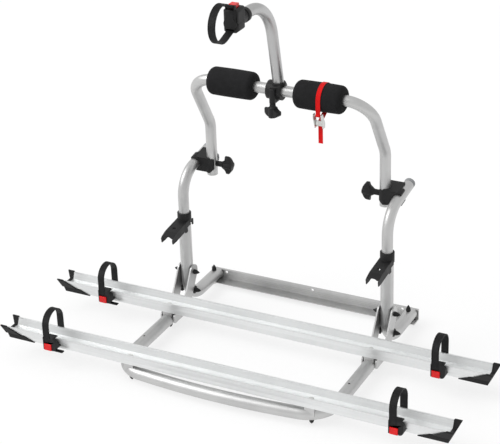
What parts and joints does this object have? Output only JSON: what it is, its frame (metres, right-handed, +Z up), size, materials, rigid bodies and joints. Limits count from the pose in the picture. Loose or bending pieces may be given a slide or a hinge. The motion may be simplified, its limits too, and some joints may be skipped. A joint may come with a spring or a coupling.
{
  "type": "motorhome bike rack",
  "caption": "Bike rack for the rear of a motorhome: folding platform with two wheel rails, telescoping masts, padded frame and a clamping arm for bicycle frames.",
  "frame": {"origin": "centre of the middle wall hole, on the rear face of the wall bar that lies against the vehicle", "axes": "+X along the wall bar, +Y into the vehicle wall, +Z up"},
  "size_m": [1.3096, 0.6278, 1.0543],
  "materials": {
    "satin_aluminium": "satin anodised",
    "rail_aluminium": "bright satin",
    "arm_aluminium": "satin anodised",
    "black_plastic": "fine matt grain",
    "grey_plastic": "matt",
    "bright_steel": "zinc plated",
    "black_foam": "closed cell foam, matt",
    "red_webbing": "woven webbing",
    "black_strap": "ribbed, matt",
    "red_plastic": "satin gloss"
  },
  "bodies": {
    "wall_frame": {"wall_bar": "satin_aluminium", "left_side_tube": "satin_aluminium", "right_side_tube": "satin_aluminium", "left_hook": "black_plastic", "right_hook": "black_plastic", "wall_bolts": "bright_steel", "wall_bolt_caps": "black_plastic", "pivot_bolts": "bright_steel", "pivot_bolt_caps": "black_plastic", "stop_bolts": "bright_steel", "stop_bolt_caps": "black_plastic"},
    "masts": {"left_mast": "satin_aluminium", "right_mast": "satin_aluminium", "mast_plugs": "grey_plastic"},
    "frame": {"left_clamp": "black_plastic", "right_clamp": "black_plastic", "clamp_shoes": "grey_plastic", "upper_frame": "satin_aluminium", "left_pad": "black_foam", "right_pad": "black_foam", "red_strap": "red_webbing", "strap_buckle": "bright_steel"},
    "left_side_knob": {"left_knob": "black_plastic"},
    "right_side_knob": {"right_knob": "black_plastic"},
    "cam_lever": {"strap_cam": "bright_steel"},
    "arm_slider": {"arm_clamp_front": "black_plastic", "arm_clamp_back": "black_plastic"},
    "clamp_knob": {"arm_knob": "black_plastic"},
    "arm": {"bike_arm": "arm_aluminium", "arm_collar": "black_plastic"},
    "head": {"head_body": "black_plastic", "head_jaw": "black_plastic"},
    "head_loop": {"head_strap": "black_strap"},
    "head_release": {"head_button": "red_plastic"},
    "platform": {"platform_tube": "satin_aluminium", "left_braces": "satin_aluminium", "right_braces": "satin_aluminium", "brace_bolts": "bright_steel", "rail_saddles": "satin_aluminium", "rail_bolts": "bright_steel", "rail_bolt_caps": "black_plastic", "rear_rail": "rail_aluminium", "front_rail": "rail_aluminium", "rear_left_end": "black_plastic", "rear_right_end": "black_plastic", "front_left_end": "black_plastic", "front_right_end": "black_plastic"},
    "rear_left_slider": {"rear_left_holder": "black_plastic"},
    "rear_left_loop": {"rear_left_strap": "black_strap"},
    "rear_left_release": {"rear_left_button": "red_plastic"},
    "rear_right_slider": {"rear_right_holder": "black_plastic"},
    "rear_right_loop": {"rear_right_strap": "black_strap"},
    "rear_right_release": {"rear_right_button": "red_plastic"},
    "front_left_slider": {"front_left_holder": "black_plastic"},
    "front_left_loop": {"front_left_strap": "black_strap"},
    "front_left_release": {"front_left_button": "red_plastic"},
    "front_right_slider": {"front_right_holder": "black_plastic"},
    "front_right_loop": {"front_right_strap": "black_strap"},
    "front_right_release": {"front_right_button": "red_plastic"}
  },
  "joints": [
    {"name": "mast_telescope", "type": "slide", "parent": "wall_frame", "child": "masts", "axis": [0, 0, 1], "range_m": [0, 0.12]},
    {"name": "frame_depth", "type": "slide", "parent": "masts", "child": "frame", "axis": [0, 0.9877, 0.1564], "range_m": [-0.012, 0.02]},
    {"name": "left_side_knob_turn", "type": "hinge", "parent": "frame", "child": "left_side_knob", "pos_m": [-0.26, -0.094, 0.394], "axis": [1, 0, 0], "continuous": true},
    {"name": "right_side_knob_turn", "type": "hinge", "parent": "frame", "child": "right_side_knob", "pos_m": [0.26, -0.094, 0.394], "axis": [-1, 0, 0], "continuous": true},
    {"name": "cam_lift", "type": "hinge", "parent": "frame", "child": "cam_lever", "pos_m": [0.131, -0.22421, 0.623], "axis": [1, 0, 0], "range_deg": [0, 100]},
    {"name": "arm_slide", "type": "slide", "parent": "frame", "child": "arm_slider", "axis": [1, 0, 0], "range_m": [-0.037, 0.032]},
    {"name": "clamp_knob_turn", "type": "hinge", "parent": "arm_slider", "child": "clamp_knob", "pos_m": [-0.003, -0.22324, 0.66131], "axis": [0, 0, 1], "continuous": true},
    {"name": "arm_swivel", "type": "hinge", "parent": "arm_slider", "child": "arm", "pos_m": [0.001, -0.19351, 0.70431], "axis": [0, -0.1994, 0.9799], "range_deg": [-60, 60]},
    {"name": "head_swivel", "type": "hinge", "parent": "arm", "child": "head", "pos_m": [0.001, -0.34844, 0.95182], "axis": [0, 1, 0], "range_deg": [-90, 90]},
    {"name": "head_loop_open", "type": "hinge", "parent": "head", "child": "head_loop", "pos_m": [0.001, -0.44444, 0.99482], "axis": [-1, 0, 0], "range_deg": [0, 75]},
    {"name": "head_release_press", "type": "slide", "parent": "head", "child": "head_release", "axis": [0, 0, -1], "range_m": [0, 0.003], "stiffness_N_per_m": 600},
    {"name": "platform_fold", "type": "hinge", "parent": "wall_frame", "child": "platform", "pos_m": [0, -0.187, 0.09], "axis": [-1, 0, 0], "range_deg": [0, 83]},
    {"name": "rear_left_holder_slide", "type": "slide", "parent": "platform", "child": "rear_left_slider", "axis": [1, 0, 0], "range_m": [-0.03, 0.12]},
    {"name": "rear_left_strap_open", "type": "hinge", "parent": "rear_left_slider", "child": "rear_left_loop", "pos_m": [-0.5, -0.2645, 0.043], "axis": [-1, 0, 0], "range_deg": [0, 100]},
    {"name": "rear_left_button_press", "type": "slide", "parent": "rear_left_slider", "child": "rear_left_release", "axis": [0, 1, 0], "range_m": [0, 0.002], "stiffness_N_per_m": 600},
    {"name": "rear_right_holder_slide", "type": "slide", "parent": "platform", "child": "rear_right_slider", "axis": [1, 0, 0], "range_m": [-0.12, 0.02]},
    {"name": "rear_right_strap_open", "type": "hinge", "parent": "rear_right_slider", "child": "rear_right_loop", "pos_m": [0.5, -0.2645, 0.043], "axis": [-1, 0, 0], "range_deg": [0, 100]},
    {"name": "rear_right_button_press", "type": "slide", "parent": "rear_right_slider", "child": "rear_right_release", "axis": [0, 1, 0], "range_m": [0, 0.002], "stiffness_N_per_m": 600},
    {"name": "front_left_holder_slide", "type": "slide", "parent": "platform", "child": "front_left_slider", "axis": [1, 0, 0], "range_m": [-0.03, 0.12]},
    {"name": "front_left_strap_open", "type": "hinge", "parent": "front_left_slider", "child": "front_left_loop", "pos_m": [-0.5, -0.5512, 0.043], "axis": [-1, 0, 0], "range_deg": [0, 100]},
    {"name": "front_left_button_press", "type": "slide", "parent": "front_left_slider", "child": "front_left_release", "axis": [0, 1, 0], "range_m": [0, 0.002], "stiffness_N_per_m": 600},
    {"name": "front_right_holder_slide", "type": "slide", "parent": "platform", "child": "front_right_slider", "axis": [1, 0, 0], "range_m": [-0.12, 0.02]},
    {"name": "front_right_strap_open", "type": "hinge", "parent": "front_right_slider", "child": "front_right_loop", "pos_m": [0.5, -0.5512, 0.043], "axis": [-1, 0, 0], "range_deg": [0, 100]},
    {"name": "front_right_button_press", "type": "slide", "parent": "front_right_slider", "child": "front_right_release", "axis": [0, 1, 0], "range_m": [0, 0.002], "stiffness_N_per_m": 600}
  ]
}
